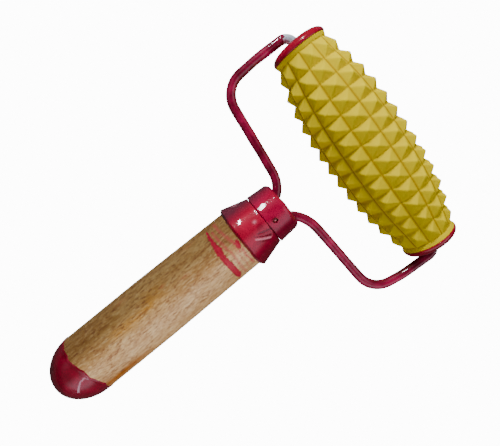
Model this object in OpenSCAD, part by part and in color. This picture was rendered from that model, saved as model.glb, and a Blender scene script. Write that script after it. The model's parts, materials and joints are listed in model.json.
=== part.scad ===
// Hand-held spiked massage roller: a crowned barrel of square pyramids that turns
// between the two arms of a bent rod frame, on a turned wooden handle.
// Millimetres. The origin is on the handle's axis, in the grip's straight stretch.
// +X runs along the handle towards the roller, +Y is the roller's left end, +Z is up.

/* [Wooden grip] */
// Diameter of the grip's straight stretch
grip_d = 34.7; // [33:0.1:36]
// Diameter of the grip where the ferrule's lip meets it
neck_d = 32.6; // [32:0.1:33]
// From the origin back to the tip of the butt
grip_back = 45.2; // [40:0.1:60]
// From the origin forward to the end of the straight stretch
grip_straight = 18.3; // [15:0.1:40]
// From the origin forward to the ferrule's rear lip
grip_front = 79.7; // [75:0.1:90]
// Length of the rounded butt
butt_len = 19.9; // [16:0.1:22]
// Thickness of the dipped enamel on the butt
dip_t = 0.2; // [0.15:0.05:0.4]
// Slant of the dipped edge, degrees
dip_slant = 10; // [0:1:20]
// Diameter of the spigot that carries the collar
spigot_d = 25; // [24:0.1:25.2]

/* [Ferrule and collar] */
// Length of the conical ferrule
ferrule_len = 15.6; // [12:0.1:18]
// Largest diameter of the ferrule, just in front of its lip
ferrule_d = 36.4; // [36:0.1:38]
// Diameter of the ferrule's front edge
ferrule_neck_d = 28.2; // [27.6:0.1:28.8]
// Sheet thickness of the ferrule
ferrule_t = 1.2; // [0.8:0.1:1.25]
// Length of the collar
collar_len = 12.9; // [12:0.1:16]
// Diameter of the collar at its rear edge
collar_d = 29.2; // [28.6:0.1:29.8]
// Diameter of the collar at its front edge
collar_front_d = 27.2; // [26.8:0.1:27.8]
// Radius of the collar's rolled front edge
collar_edge_r = 1.7; // [1:0.1:2]
// Thickness of the collar's front wall
collar_face_t = 1.5; // [1:0.1:2]

/* [Frame rods] */
// Diameter of the bare steel rod
rod_d = 4.76; // [4.5:0.01:4.9]
// Thickness of the enamel on the rods
film_t = 0.12; // [0.08:0.01:0.2]
// Length of each tang behind the collar's front face
tang_len = 48; // [38:0.5:60]
// Bend radius of the left rod inside the collar
bend_left = 16.5; // [14:0.5:18]
// Bend radius of the right rod inside the collar
bend_right = 20; // [16:0.5:20]
// Radius of the two big outer bends
bend_outer = 13.3; // [11:0.1:14.5]
// Radius of the tight bends at the roller's ends
bend_end = 5.5; // [5:0.1:6]
// From the roller's centre to the left rod's centreline beside the cap
arm_left_y = 68.9; // [68.2:0.1:70]
// From the roller's centre to the right rod's centreline beside the cap
arm_right_y = 68.4; // [68.2:0.1:70]

/* [Roller head] */
// From the origin forward to the roller's centre
reach = 160.5; // [158:0.1:166]
// Sideways offset of the roller's centre from the handle's axis
head_off = -4.15; // [-5:0.01:-2]
// Angle by which the hand-bent frame stands off square, degrees
head_skew = 2.35; // [1:0.01:3]

/* [Spiked barrel] */
// Rings of pyramids along the barrel
rings = 13; // [11:2:13]
// Pyramids around each ring
rows = 12; // [10:1:14]
// Pitch of the rings along the barrel
pitch = 8.6; // [8:0.05:8.6]
// Diameter at the groove corners in the middle
barrel_mid_d = 41.5; // [38:0.1:44]
// Diameter at the groove corners at the last groove
barrel_end_d = 25.5; // [25:0.1:28]
// How steeply the crown falls away (2 is a parabola)
crown_pow = 2.67; // [2:0.01:3]
// Height of a pyramid's tip above the groove corners
spike_h = 3.0; // [2:0.1:4]
// Diameter of the plain band at each end
band_d = 29; // [28.6:0.1:29.4]
// Width of the plain band
band_w = 3.4; // [2.8:0.1:4]
// How far the end spikes' outer faces run on into the band
end_run = 1.2; // [0.8:0.2:1.6]
// Turn of the barrel about its axis at rest, degrees
spike_phase = -8.6; // [-15:0.1:15]
// Bore through the barrel
bore_d = 21.2; // [20.4:0.1:22]

/* [End caps and hubs] */
// Diameter of the domed cap
cap_d = 29.8; // [29.4:0.1:30.6]
// How far the dome stands out of the barrel
cap_h = 4.6; // [4:0.1:5]
// Radial running clearance in the hubs
run_gap = 0.05; // [0.02:0.01:0.09]
// Outside diameter of the nylon bush
bush_d = 8.1; // [7.6:0.1:8.6]

/* [Hidden] */

$fn = 96;
pin_fn = 32;                             // facets of the nail and the pins
skin = 0.01;                             // gap between the rod and what hugs it
fit = 0.05;                              // gap between fitted parts

grip_r = grip_d / 2;
neck_r = neck_d / 2;
spigot_r = spigot_d / 2;
rod_r = rod_d / 2;
bore_r = bore_d / 2;
bush_r = bush_d / 2;

// places along the handle
fer_x0 = grip_front;                     // ferrule rear lip
fer_x1 = fer_x0 + ferrule_len;           // ferrule front edge
col_x0 = fer_x1 + 0.1;                   // collar rear edge
col_x1 = col_x0 + collar_len;            // collar front face
spig_x1 = col_x1 - collar_face_t - fit;  // spigot front face
slot_x0 = fer_x1 - 2.4;                  // bottom of the sawn slot
tang_x0 = col_x1 - tang_len;             // rear end of the tangs
dip_x = butt_len + 2.3 - grip_back;      // dipped edge on the handle's axis

dip_yaw = 11.5;                          // sideways slant of the dipped edge
tang_y = rod_r + 0.05;                   // the two tangs lie side by side
tang_hole_r = 2 * rod_r + 0.25;          // drilled hole for the tangs
slot_gap = 0.2;                          // slot's clearance above and below the rods
pin_r = 1.65;                            // tang locking pins
pin_z = 3.3;
nail_x = col_x0 + 4;                     // collar nail
nail_tilt = 8.2;                         // its tilt about the handle's axis
nail_r = 0.6;

// distances outward from the roller's centre, and radii about its axis
half = rings * pitch / 2;                // half length of the spiked part
joint_y = half + band_w;                 // barrel end face
band_root_r = band_d / 2 - 0.7;          // band's radius where the spikes meet it
stub_y = joint_y - 15.8;                 // inner end of each stub
hub_out = joint_y + 0.8;                 // outer face of the cap's hub
hub_in = joint_y - 9.3;                  // inner face of the cap's hub
skirt_in = joint_y - 7;                  // inner edge of the cap's skirt
enamel_x = -3;                           // front limit of the enamel, roller's frame
enamel_right_y = hub_out + 3.2;          // where the right rod's enamel stops

// ---------------------------------------------------------------- frames
// a point given in the roller's frame, as a point in the handle's frame
function head(p) = [reach + p.x * cos(head_skew) + p.y * sin(head_skew),
                    head_off - p.x * sin(head_skew) + p.y * cos(head_skew)];

// draws in the roller's frame: origin at the roller's centre, axis along Y
module at_head() {
  translate([reach, head_off, 0]) rotate([0, 0, -head_skew]) children();
}

// revolves a profile of [radius, distance outward] about the roller's axis;
// side = 1 puts it at the left end, side = -1 at the right end
module at_end(side) {
  at_head() rotate([side > 0 ? -90 : 90, 0, 0]) rotate_extrude() children();
}

// revolves a profile of [distance along the handle, radius] about the handle's axis
module on_handle(profile) {
  rotate([0, 90, 0]) rotate_extrude() polygon([for (p = profile) [p.y, p.x]]);
}

// draws on the nail's line, at a height above the handle's axis
module at_nail(height) {
  rotate([nail_tilt, 0, 0]) translate([nail_x, 0, height]) children();
}

// ---------------------------------------------------------------- bent rod
function unit(angle) = [cos(angle), sin(angle)];
function heading(from, to) = atan2(to.y - from.y, to.x - from.x);
// signed turn from heading a to heading b, brought within half a circle
function turn(a, b) = let (d = b - a) d > 180 ? d - 360 : d < -180 ? d + 360 : d;
// length of the tangent at corner i of a path
function tan_len(path, i, radius) = abs(radius
  * tan(turn(heading(path[i - 1], path[i]), heading(path[i], path[i + 1])) / 2));

// a round rod along the corners of path, with bend radius bends[i] at corner i;
// each straight stops a hair short of its bend, and a thin ring closes the joint
module rod(path, bends, radius) {
  last = len(path) - 1;
  gap = 0.05;
  ring_w = 0.4;
  ring_rise = 0.02;
  for (i = [0 : last - 1]) {
    angle = heading(path[i], path[i + 1]);
    trim0 = i == 0 ? 0 : tan_len(path, i, bends[i]) + gap;
    trim1 = i == last - 1 ? 0 : tan_len(path, i + 1, bends[i + 1]) + gap;
    start = path[i] + trim0 * unit(angle);
    translate([start.x, start.y, 0]) rotate([0, 90, angle])
      cylinder(h = norm(path[i + 1] - path[i]) - trim0 - trim1, r = radius);
  }
  for (i = [1 : last - 1]) {
    angle_in = heading(path[i - 1], path[i]);
    angle_out = heading(path[i], path[i + 1]);
    sweep = turn(angle_in, angle_out);
    side = sign(sweep);
    tangent = tan_len(path, i, bends[i]);
    start = path[i] - tangent * unit(angle_in);
    end = path[i] + tangent * unit(angle_out);
    centre = start + bends[i] * unit(angle_in + side * 90);
    translate([centre.x, centre.y, 0])
      rotate([0, 0, side > 0 ? angle_in - 90 : angle_in + 90 + sweep])
        rotate_extrude(angle = abs(sweep)) translate([bends[i], 0]) circle(r = radius);
    for (joint = [[start, angle_in], [end, angle_out]])
      translate([joint[0].x, joint[0].y, 0]) rotate([0, 90, joint[1]])
        cylinder(h = ring_w, r = radius + ring_rise, center = true);
  }
}

// corners of the two rods: tang, splay, outer bend, a slight bow in the forward
// run, the tight bend, and the stub that is the roller's axle
left_path = [[tang_x0, tang_y], [col_x1 + 4.3, tang_y],
             head([-42.55, 67.0]), head([-21, arm_left_y - 0.15]),
             head([0, arm_left_y]), head([0, stub_y])];
right_path = [[tang_x0, -tang_y], [col_x1 + 5.2, -tang_y],
              head([-41.4, -65.7]), head([-22.5, -arm_right_y + 0.2]),
              head([0, -arm_right_y]), head([0, -stub_y])];

// bend radius at each corner; the two ends have none
bow_r = 40;
left_bends = [0, bend_left, bend_outer, bow_r, bend_end, 0];
right_bends = [0, bend_right, bend_outer, bow_r, bend_end, 0];

module arm(path, bends) {
  color([0.62, 0.63, 0.65]) rod(path, bends, rod_r);
}
module arm_left() { arm(left_path, left_bends); }
module arm_right() { arm(right_path, right_bends); }

// the enamel on a rod, from the collar's face to enamel_x in the roller's frame;
// if y_end is above 0, also what lies further out than y_end on the right
module film(path, bends, y_end) {
  span = 100; // the clipping boxes reach past the frame
  deep = 10;
  color([0.62, 0.05, 0.12]) intersection() {
    difference() {
      rod(path, bends, rod_r + film_t);
      rod(path, bends, rod_r + skin);
    }
    translate([col_x1 + fit, -span, -deep]) cube([80, 2 * span, 2 * deep]);
    at_head() union() {
      translate([enamel_x - span, -span, -deep]) cube([span, 2 * span, 2 * deep]);
      if (y_end > 0)
        translate([-deep, -y_end - 2 * deep, -deep]) cube(2 * deep);
    }
  }
}
// on the left it stops part-way round the tight bend; on the right it runs
// almost all the way round
module enamel_left() { film(left_path, left_bends, 0); }
module enamel_right() { film(right_path, right_bends, enamel_right_y); }

// ---------------------------------------------------------------- handle
butt_steps = 24;
butt_pts = [for (i = [0 : butt_steps]) let (angle = 90 * i / butt_steps)
            [-grip_back + butt_len * (1 - cos(angle)), grip_r * pow(sin(angle), 0.93)]];

// the gentle narrowing from the straight stretch to just inside the ferrule
waist_steps = 10;
waist_pts = [for (i = [0 : waist_steps]) let (u = i / waist_steps)
             [grip_straight + (fer_x0 + 0.4 - grip_straight) * u,
              grip_r - (grip_d - neck_d) / 2 * pow(u, 1.2)]];

// the turned handle with its enamel; the grip's surface is sunk by inset
module grip_body(inset) {
  on_handle(concat(
    [for (p = butt_pts)
      [p.x + inset * (fer_x0 - p.x) / (fer_x0 + grip_back), max(p.y - inset, 0)]],
    [for (p = waist_pts) [p.x, p.y - inset]],
    [[fer_x0 + 1.5, neck_r - 0.4 - inset],
     [fer_x1 - 2.2, spigot_r + 0.3], [fer_x1 - 1.4, spigot_r],
     [spig_x1 - 0.5, spigot_r], [spig_x1, spigot_r - 0.5], [spig_x1, 0]]));
}

// the skin of the butt, ending on a slant
module dip_skin() {
  box = [60, 80, 80];
  intersection() {
    difference() {
      grip_body(0);
      grip_body(dip_t);
    }
    translate([dip_x, 0, 0]) rotate([0, dip_slant, 0]) rotate([0, 0, dip_yaw])
      translate([-box.x, -box.y / 2, -box.z / 2]) cube(box);
  }
}

module butt_enamel() {
  color([0.65, 0.07, 0.16]) dip_skin();
}

module handle_grip() {
  slot_box = 40; // length and width, both past the spigot
  color([0.78, 0.62, 0.42]) difference() {
    grip_body(0);
    dip_skin();
    // drilled hole for the two tangs and their locking pins
    translate([tang_x0 - 2, 0, 0]) rotate([0, 90, 0])
      cylinder(h = tang_len + 10, r = tang_hole_r);
    // sawn slot that lets the rods splay inside the collar
    translate([slot_x0, -slot_box / 2, -rod_r - slot_gap])
      cube([slot_box, slot_box, rod_d + 2 * slot_gap]);
    // hole for the collar nail
    at_nail(spigot_r - 7.2) cylinder(h = 10, r = nail_r + 0.02, $fn = pin_fn);
  }
}

// pressed conical ferrule with its rear lip turned in against the wood
module ferrule() {
  lip_r = neck_r + fit;
  front_r = ferrule_neck_d / 2;
  crest_x = fer_x0 + 1.4;
  color([0.70, 0.05, 0.12]) on_handle([
    // outside, from the lip forward
    [fer_x0, lip_r], [fer_x0, neck_r + 0.35],
    [fer_x0 + 0.9, ferrule_d / 2 - 0.35], [crest_x, ferrule_d / 2],
    [fer_x1 - 0.3, front_r + 0.1], [fer_x1, front_r - 0.2],
    // inside, back to the lip
    [fer_x1, spigot_r + fit], [fer_x1 - 1.0, spigot_r + fit],
    [fer_x1 - 1.6, spigot_r + 0.4],
    [fer_x0 + 2.0, ferrule_d / 2 - ferrule_t - 0.1],
    [crest_x, lip_r]]);
}

// pressed cup that closes the front of the handle; the rods come out of its face
module collar() {
  rear_r = collar_d / 2;
  front_r = collar_front_d / 2;
  edge_r = collar_edge_r;
  rear_round = 0.4;
  inner_r = spigot_r + 0.03;
  wall_x = spig_x1 + fit;
  color([0.72, 0.05, 0.13]) difference() {
    on_handle(concat(
      [[col_x0, inner_r], [col_x0, rear_r - rear_round], [col_x0 + rear_round, rear_r]],
      [for (a = [0 : 15 : 90])
        [col_x1 - edge_r + edge_r * sin(a), front_r - edge_r + edge_r * cos(a)]],
      [[col_x1, 0], [wall_x, 0], [wall_x, inner_r]]));
    rod(left_path, left_bends, rod_r + 0.06);
    rod(right_path, right_bends, rod_r + 0.06);
    // punched hole round the nail's head
    at_nail(spigot_r - 2) cylinder(h = 6, r = 1.45, $fn = 48);
  }
}

// nail in the collar's punched hole, driven into the spigot: head, shank, point
module collar_nail() {
  color([0.75, 0.3, 0.32]) {
    at_nail(spigot_r + 0.05) cylinder(h = 0.7, r = 1.1, $fn = pin_fn);
    at_nail(spigot_r - 6) cylinder(h = 6.2, r = nail_r, $fn = pin_fn);
    at_nail(spigot_r - 7) cylinder(h = 1, r1 = 0.1, r2 = nail_r, $fn = pin_fn);
  }
}

// two hard pins driven in above and below the tangs to lock them in the bore
module tang_pins() {
  pin_x0 = tang_x0 - 1;
  point_len = 1.5;
  color([0.55, 0.55, 0.57]) for (side = [-1, 1])
    translate([pin_x0, 0, side * pin_z]) rotate([0, 90, 0]) {
      cylinder(h = point_len, r1 = 0.7, r2 = pin_r, $fn = pin_fn);
      translate([0, 0, point_len])
        cylinder(h = slot_x0 - pin_x0 - 2, r = pin_r, $fn = pin_fn);
    }
}

// ---------------------------------------------------------------- roller
// radius at the groove corners, y along the barrel
function groove_r(y) = barrel_mid_d / 2
  - (barrel_mid_d - barrel_end_d) / 2 * pow(abs(y) / half, crown_pow);
// the point at y and radius r, m rows round from the phase line
function on_barrel(y, r, m) = let (angle = spike_phase + m * 360 / rows)
  [-r * sin(angle), y, r * cos(angle)];

module spikes() {
  // the outermost corners sit on the plain band, so the end spikes run out into it
  corners = [for (k = [0 : rings], m = [0 : rows - 1])
    let (y = half - k * pitch, end = k == 0 ? 1 : k == rings ? -1 : 0)
      on_barrel(y + end * end_run, end == 0 ? groove_r(y) : band_root_r, m)];
  tips = [for (k = [0 : rings - 1], m = [0 : rows - 1])
    let (y = half - (k + 0.5) * pitch) on_barrel(y, groove_r(y) + spike_h, m + 0.5)];
  centres = [[0, half + end_run, 0], [0, -half - end_run, 0]];
  // indices into the joined list of points
  function corner(k, m) = k * rows + m % rows;
  tip0 = len(corners);
  left = tip0 + len(tips);
  right = left + 1;
  polyhedron(concat(corners, tips, centres), concat(
    [for (k = [0 : rings - 1], m = [0 : rows - 1]) each
      let (tip = tip0 + k * rows + m) [
        [tip, corner(k, m), corner(k + 1, m)],
        [tip, corner(k + 1, m), corner(k + 1, m + 1)],
        [tip, corner(k + 1, m + 1), corner(k, m + 1)],
        [tip, corner(k, m + 1), corner(k, m)]]],
    [for (m = [0 : rows - 1]) [left, corner(0, m + 1), corner(0, m)]],
    [for (m = [0 : rows - 1]) [right, corner(rings, m), corner(rings, m + 1)]]));
}

module spiked_barrel() {
  overrun = 10; // of the bore past each end of the spikes
  core_r = bore_r - 1;
  color([0.93, 0.84, 0.14]) difference() {
    union() {
      at_head() spikes();
      // plain bands
      for (side = [-1, 1]) at_end(side) polygon([
        [core_r, half - 0.5], [band_root_r - 1, half + end_run - 0.9],
        [band_root_r + 0.12, half + end_run - 0.1], [band_d / 2 + 0.15, joint_y],
        [core_r, joint_y]]);
    }
    at_head() translate([0, half + overrun, 0]) rotate([90, 0, 0])
      cylinder(h = 2 * (half + overrun), r = bore_r);
  }
}

// domed cap with a plug skirt, a hub for the bush and four ribs between them
module end_cap(side) {
  rim_r = cap_d / 2;
  hole_r = bush_r + run_gap;
  hub_r = 6.3;
  plug_r = bore_r - 0.02;
  skirt_r = plug_r - 1.8;      // inside of the skirt
  floor_y = joint_y - 1.2;     // inner face between hub and skirt
  dome_r = 6.2;                // where the dome's curve ends
  recess_r = 5.2;              // sunk ring round the bush
  rim_y = joint_y + 0.6;
  top_y = joint_y + cap_h;
  rib_t = 1.2;
  rib_y0 = skirt_in + 0.5;
  rib_y1 = joint_y - 1;
  color([0.78, 0.05, 0.12]) {
    at_end(side) polygon(concat(
      [[hole_r, hub_in], [hub_r, hub_in], [hub_r, floor_y], [skirt_r, floor_y],
       [skirt_r, skirt_in], [plug_r - 0.4, skirt_in], [plug_r, skirt_in + 0.5],
       [plug_r, joint_y], [rim_r - 0.25, joint_y]],
      [for (a = [0 : 7.5 : 90]) [dome_r + (rim_r - dome_r) * pow(cos(a), 0.75),
                                rim_y + (top_y - rim_y) * pow(sin(a), 0.9)]],
      [[5.6, top_y], [recess_r, top_y - 0.4], [recess_r, hub_out], [hole_r, hub_out]]));
    at_head() for (a = [0 : 90 : 270]) rotate([0, a + 45, 0])
      translate([hub_r - 0.2, side > 0 ? rib_y0 : -rib_y1, -rib_t / 2])
        cube([skirt_r - 6, rib_y1 - rib_y0, rib_t]);
  }
}
module end_cap_left() { end_cap(1); }
module end_cap_right() { end_cap(-1); }

// nylon bush that sits on the bare stub; the cap snaps over it and turns on it
module hub_bush(side) {
  hole_r = rod_r + run_gap;
  flange_r = 6;
  flange_y = hub_in - 0.1;
  lip_y = hub_out + 0.1;
  end_y = hub_out + 0.9;
  color([0.92, 0.92, 0.88]) at_end(side) polygon([
    [hole_r, hub_in - 1.5], [flange_r, hub_in - 1.5], [flange_r, flange_y],
    [bush_r, flange_y], [bush_r, lip_y], [bush_r + 0.6, lip_y],
    [bush_r + 0.2, end_y], [hole_r + 0.15, end_y], [hole_r, end_y - 0.15]]);
}
module hub_bush_left() { hub_bush(1); }
module hub_bush_right() { hub_bush(-1); }

// plain steel washer on each stub, inside the barrel
module thrust_washers() {
  color([0.72, 0.73, 0.75]) for (side = [-1, 1]) at_end(side)
    translate([rod_r + 0.1, stub_y + 2.5]) square([3, 0.8]);
}

// toothed push-on nut behind each washer; three cross cuts make the teeth
module push_nuts() {
  nut_r = 5.2;
  hole_r = rod_r + skin;
  cut = [7.6, 5, 0.7];
  color([0.50, 0.50, 0.52]) for (side = [-1, 1]) difference() {
    at_end(side) polygon([
      [hole_r, stub_y + 1.3], [rod_r + 0.5, stub_y + 1.3], [4.0, stub_y + 1.9],
      [nut_r, stub_y + 1.9], [nut_r, stub_y + 2.4], [3.8, stub_y + 2.4],
      [hole_r, stub_y + 1.8]]);
    at_head() for (a = [0 : 60 : 120]) rotate([0, a, 0])
      translate([-cut.x / 2, side > 0 ? stub_y : -stub_y - cut.y, -cut.z / 2]) cube(cut);
  }
}

handle_grip();
butt_enamel();
ferrule();
collar();
collar_nail();
tang_pins();
arm_left();
arm_right();
enamel_left();
enamel_right();
thrust_washers();
push_nuts();
hub_bush_left();
hub_bush_right();
spiked_barrel();
end_cap_left();
end_cap_right();
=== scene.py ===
"""A hand roller: a turned wooden grip with a dipped butt, a red ferrule and collar, and two
bent rods that carry a spiked barrel with red end caps.

Lengths are millimetres until a mesh, lamp or camera is made. In the handle's frame x runs
along the handle from the butt to the roller, +Y is the left side and +Z is up. The head's
frame is level with it, centred on the roller, with y along the roller's spin axis.
Angles round the handle are measured from the top (+Z) towards +Y.
"""
import json
import math

import bpy
import numpy as np
from mathutils import Matrix, Vector

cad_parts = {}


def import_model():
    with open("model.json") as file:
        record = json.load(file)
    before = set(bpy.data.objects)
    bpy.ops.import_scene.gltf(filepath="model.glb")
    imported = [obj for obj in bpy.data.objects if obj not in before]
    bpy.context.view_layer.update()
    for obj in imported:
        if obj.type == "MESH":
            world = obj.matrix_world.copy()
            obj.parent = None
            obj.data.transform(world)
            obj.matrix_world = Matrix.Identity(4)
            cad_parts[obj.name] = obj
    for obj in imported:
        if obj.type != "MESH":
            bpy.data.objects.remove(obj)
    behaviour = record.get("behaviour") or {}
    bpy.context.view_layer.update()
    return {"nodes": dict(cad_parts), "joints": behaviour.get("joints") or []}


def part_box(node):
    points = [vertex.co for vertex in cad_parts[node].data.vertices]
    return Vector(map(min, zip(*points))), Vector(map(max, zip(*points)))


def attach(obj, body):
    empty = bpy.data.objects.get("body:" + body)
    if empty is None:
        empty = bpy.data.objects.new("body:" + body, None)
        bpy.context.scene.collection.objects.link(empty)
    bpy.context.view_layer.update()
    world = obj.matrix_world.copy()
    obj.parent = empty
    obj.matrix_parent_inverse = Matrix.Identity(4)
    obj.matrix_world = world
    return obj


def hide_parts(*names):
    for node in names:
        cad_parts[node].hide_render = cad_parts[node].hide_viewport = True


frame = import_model()
MM = 1e-3
TURN = 2 * math.pi

# ------------------------------------------------------------------ places from the CAD


def cad_box(name):
    """Low and high corners of a CAD piece."""
    low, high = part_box(name)
    return np.array(low) * 1e3, np.array(high) * 1e3


spin = next(j for j in frame["joints"] if j["name"] == "roller_spin")
HEAD_X, HEAD_Y = spin["pos_m"][0] * 1e3, spin["pos_m"][1] * 1e3
spin_axis = np.array(spin["axis"][:2])
SKEW_SIN, SKEW_COS = spin_axis / np.hypot(*spin_axis)

grip_low, grip_high = cad_box("handle_grip")
ferrule_low, ferrule_high = cad_box("ferrule")
collar_low, collar_high = cad_box("collar")
nail_low, nail_high = cad_box("collar_nail")
TIP_X, GRIP_R = grip_low[0], grip_high[1]
FERRULE_START, FERRULE_END, FERRULE_R = ferrule_low[0], ferrule_high[0], ferrule_high[1]
COLLAR_START, COLLAR_END, COLLAR_R = collar_low[0], collar_high[0], collar_high[1]
NAIL_X = (nail_low[0] + nail_high[0]) / 2

# ------------------------------------------------------------------ driving sizes
NECK_R = GRIP_R - 1.05              # wood where it meets the ferrule
DOME_LENGTH = 19.9                  # rounded butt end of the grip
WAIST_START = 18.3                  # x where the grip starts to narrow
SPIGOT_R = 12.5                     # wood inside the ferrule and collar
SPIGOT_END = COLLAR_END - 1.55
BORE_R = 5.05                       # hole for the two rods
BORE_END = COLLAR_END - 50

FERRULE_BORE_R = 12.55
FERRULE_SHOULDER = FERRULE_START + 1.5
FERRULE_RIM_X, FERRULE_RIM_R = FERRULE_END - 0.35, 14.2
COLLAR_BORE_R = 12.53
COLLAR_SHOULDER = COLLAR_START + 0.35
COLLAR_BEND = COLLAR_END - 1.6      # where the collar turns in to its front face
COLLAR_TAPER = 0.95                 # radius lost between shoulder and bend
COLLAR_HOLE_R = 0.8

# cones of the two metal parts: x and radius at the wide end, slope of the radius along x
FERRULE_CONE = (FERRULE_SHOULDER, FERRULE_R,
                (FERRULE_RIM_R - FERRULE_R) / (FERRULE_RIM_X - FERRULE_SHOULDER))
COLLAR_CONE = (COLLAR_START, COLLAR_R, -COLLAR_TAPER / (COLLAR_BEND - COLLAR_SHOULDER))
# where the window lamps glint in the gloss; the metal is kept smooth there
GLINT_ANGLE = 30
FERRULE_GLINT_X = 85.2
COLLAR_GLINT_X = 98.8

NAIL_TILT = math.radians(8.2)
NAIL_SIDES = 48
NAIL_TOP, NAIL_FOOT = 13.42, 5.5    # distances from the handle's axis
NAIL_HEAD_BASE = 12.55
NAIL_SHANK_R = 0.55
NAIL_HOLE_R = 1.45

ROD_R = 2.38
ROD_STEP = 0.4                      # spacing of stations along a rod
ROD_SIDES = 48
ROD_ANGLES = np.linspace(0, TURN, ROD_SIDES, endpoint=False)

PITCH, RINGS, ROWS = 8.6, 13, 12    # spike spacing along the barrel, rings, spikes per ring
SPIKE = 3.0                         # spike height over the grooves
SPIKE_GRID = 22                     # mesh cells along each side of a spike
MIDDLE_R, END_R = 20.75, 12.75      # groove radius at mid length and at the ends
BULGE_POWER = 2.67
PHASE = math.radians(-8.6)
HALF = RINGS * PITCH / 2
JOINT = HALF + 3.4                  # where the end caps meet the barrel
END_RUN, END_BAND_R = 1.2, 13.8     # run-out of the end spikes into the plain band
BARREL_BORE_R = 10.6


def from_head(points):
    """Points of the head's frame, in the handle's frame."""
    points = np.asarray(points, float)
    out = points.copy()
    out[..., 0] = HEAD_X + points[..., 0] * SKEW_COS + points[..., 1] * SKEW_SIN
    out[..., 1] = HEAD_Y - points[..., 0] * SKEW_SIN + points[..., 1] * SKEW_COS
    return out


def to_head(points):
    """Plan points of the handle's frame, in the head's frame."""
    x, y = (points - np.array([HEAD_X, HEAD_Y])).T
    return np.stack([x * SKEW_COS - y * SKEW_SIN, x * SKEW_SIN + y * SKEW_COS], 1)


# ------------------------------------------------------------------ shaping functions


def waves(count, low, high, seed, dims=3):
    """Smooth seeded noise: a sum of sines with low to high radians per mm."""
    draw = np.random.default_rng(seed)
    directions = draw.normal(size=(count, dims))
    directions /= np.linalg.norm(directions, axis=1)[:, None]
    directions *= (low * (high / low) ** draw.random(count))[:, None]
    phases = draw.random(count) * 2 * math.pi
    heights = draw.normal(size=count) / math.sqrt(count / 2)

    def value(*place):
        place = np.stack(np.broadcast_arrays(*place), -1)
        return (np.sin(place @ directions.T + phases) * heights).sum(-1)
    return value


def ease(x, start, end):
    """0 before start, 1 after end, smooth between."""
    t = np.clip((x - start) / (end - start), 0, 1)
    return t * t * (3 - 2 * t)


def plateau(x, rise, fall):
    """Eases up over the pair rise and down again over the pair fall."""
    return ease(x, *rise) * (1 - ease(x, *fall))


def bell(x, centre, width, power=2):
    return np.exp(-((x - centre) / width) ** power)


def spots(x, degrees, table):
    """Soft spots on the unrolled handle, one array for each row of the table.

    Columns: x, angle in degrees, width along x, width in degrees, height.
    """
    return [height * bell(x, spot_x, x_width) * bell(degrees, angle, angle_width)
            for spot_x, angle, x_width, angle_width, height in table]


def line_distance(x, degrees, start, end, radius):
    """Distance on the unrolled handle to the line between two (x, degrees) places.

    Also gives the signed distance to its side and the fraction of the way along it.
    """
    place = np.stack([x, np.radians(degrees) * radius], -1)
    start = np.array([start[0], math.radians(start[1]) * radius])
    end = np.array([end[0], math.radians(end[1]) * radius])
    run = end - start
    square = run @ run
    along = np.clip(((place - start) @ run) / square, 0, 1)
    gap = place - (start + along[..., None] * run)
    side = (gap[..., 0] * -run[1] + gap[..., 1] * run[0]) / math.sqrt(square)
    return np.linalg.norm(gap, axis=-1), side, along


def scratch(x, degrees, start, end, offset, width, reach, run_in, run_out=None):
    """A soft line from start to end, offset to one side, cut off at reach from it.

    It fades in over the fraction run_in and, if given, fades out from run_out on.
    """
    distance, side, along = line_distance(x, degrees, start, end, radius=16)
    line = bell(side, offset, width) * (distance < reach) * ease(along, 0, run_in)
    return line if run_out is None else line * (1 - ease(along, run_out, 1))


def degrees_from_top(angle):
    return np.degrees((angle + math.pi) % TURN - math.pi)


# ------------------------------------------------------------------ meshes


def mesh_object(name, points, faces, material, attributes=None, sharp=None, smooth=True):
    """An object from points in mm and a list of face arrays, each of one face size."""
    mesh = bpy.data.meshes.new(name)
    points = np.asarray(points, np.float64) * MM
    sizes = np.concatenate([np.full(len(group), group.shape[1]) for group in faces])
    corners = np.concatenate([group.ravel() for group in faces])
    mesh.vertices.add(len(points))
    mesh.vertices.foreach_set("co", points.astype(np.float32).ravel())
    mesh.loops.add(len(corners))
    mesh.loops.foreach_set("vertex_index", corners.astype(np.int32))
    mesh.polygons.add(len(sizes))
    starts = np.r_[0, np.cumsum(sizes)[:-1]].astype(np.int32)
    mesh.polygons.foreach_set("loop_start", starts)
    mesh.polygons.foreach_set("use_smooth", np.full(len(sizes), smooth))
    mesh.update(calc_edges=True)
    mesh.validate()
    for key, values in (attributes or {}).items():
        layer = mesh.attributes.new(key, "FLOAT", "POINT")
        layer.data.foreach_set("value", np.asarray(values, np.float32).ravel())
    if sharp is not None:
        mesh.set_sharp_from_angle(angle=math.radians(sharp))
    ob = bpy.data.objects.new(name, mesh)
    bpy.context.scene.collection.objects.link(ob)
    mesh.materials.append(MATERIALS[material])
    return ob


def piece(name, points, faces, material, replaces=None, body="frame", **looks):
    """A mesh object that rides on a body and stands in for a CAD piece."""
    ob = mesh_object(name, points, faces, material, **looks)
    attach(ob, body)
    if replaces:
        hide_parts(replaces)
    return ob


def grid_faces(rows, columns, closed=False):
    """Quads of a grid whose columns wrap round; closed joins the last row to the first."""
    i = np.arange(rows if closed else rows - 1)[:, None]
    j = np.arange(columns)[None, :]
    next_i, next_j = (i + 1) % rows, (j + 1) % columns
    quads = [i * columns + j, i * columns + next_j,
             next_i * columns + next_j, next_i * columns + j]
    return np.stack(quads, -1).reshape(-1, 4)


def end_fans(rows, columns):
    """Triangles from the first and last rows of a grid to two points that follow it."""
    j = np.arange(columns)
    next_j = (j + 1) % columns
    last = (rows - 1) * columns
    pole = np.full(columns, rows * columns)
    return [np.stack([pole, next_j, j], 1), np.stack([pole + 1, last + j, last + next_j], 1)]


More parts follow.
